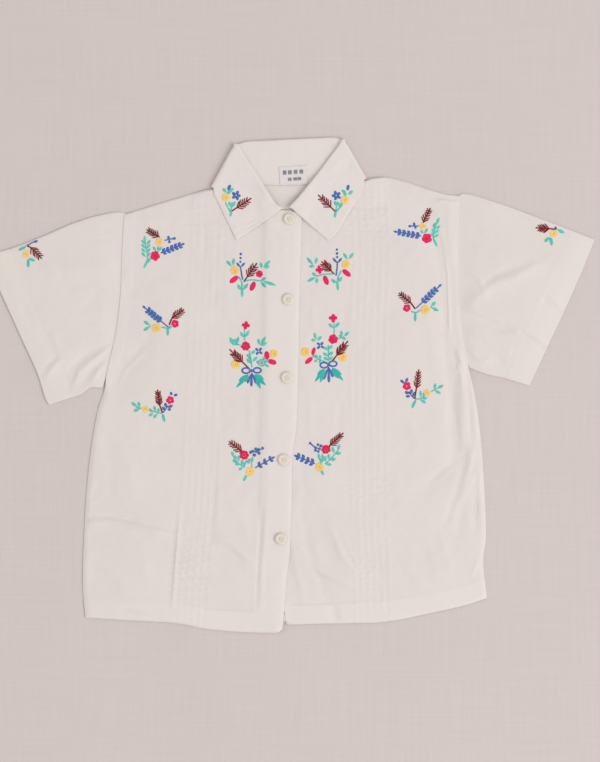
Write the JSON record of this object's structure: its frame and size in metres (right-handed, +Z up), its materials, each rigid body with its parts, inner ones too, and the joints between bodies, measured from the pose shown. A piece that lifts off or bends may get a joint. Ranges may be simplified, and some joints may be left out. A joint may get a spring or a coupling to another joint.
{
  "type": "embroidered shirt",
  "caption": "Child's short-sleeved white cotton shirt with a pointed collar, pin tucks and floral hand embroidery, buttoned and laid flat.",
  "frame": {"origin": "centre of the laid shirt's bounding box, on the surface it lies on", "axes": "+X to the wearer's left, +Y from the hem to the collar, +Z up off the surface"},
  "size_m": [0.5795, 0.4708, 0.009],
  "materials": {
    "cotton": "matt plain weave",
    "label_tape": "woven tape",
    "button": "polished cream",
    "embroidery": "stranded cotton thread"
  },
  "bodies": {
    "root": {"back": "cotton", "right_front": "cotton", "left_front": "cotton", "right_sleeve": "cotton", "left_sleeve": "cotton", "collar": "cotton", "label": "label_tape", "button_1": "button", "button_2": "button", "button_3": "button", "button_4": "button", "button_5": "button"}
  },
  "joints": []
}
